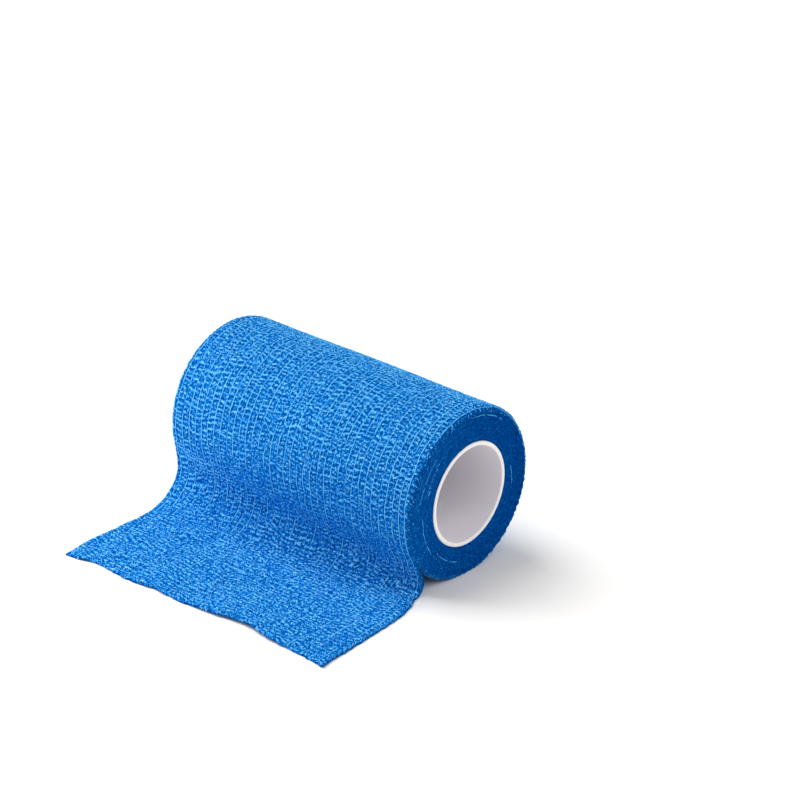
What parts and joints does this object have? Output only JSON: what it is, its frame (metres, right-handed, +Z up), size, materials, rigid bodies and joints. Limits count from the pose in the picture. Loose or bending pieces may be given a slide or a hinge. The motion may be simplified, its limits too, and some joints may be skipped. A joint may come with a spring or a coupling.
{
  "type": "cohesive bandage roll",
  "caption": "Roll of self-sticking elastic bandage on a plain tube, lying on its side with the loose end laid out flat, for wrapping and holding a dressing.",
  "frame": {"origin": "on the surface the roll lies on, under the middle of the roll's axis, in the middle of its flat spot", "axes": "+X along the roll's axis, -Y the way the loose end lies out, +Z up"},
  "size_m": [0.1069, 0.1057, 0.0552],
  "materials": {
    "bandage": "crinkled elastic cloth with fine lengthwise threads, matt",
    "core": "smooth white plastic tube, satin"
  },
  "bodies": {
    "root": {"bandage": "bandage", "core": "core"}
  },
  "joints": []
}
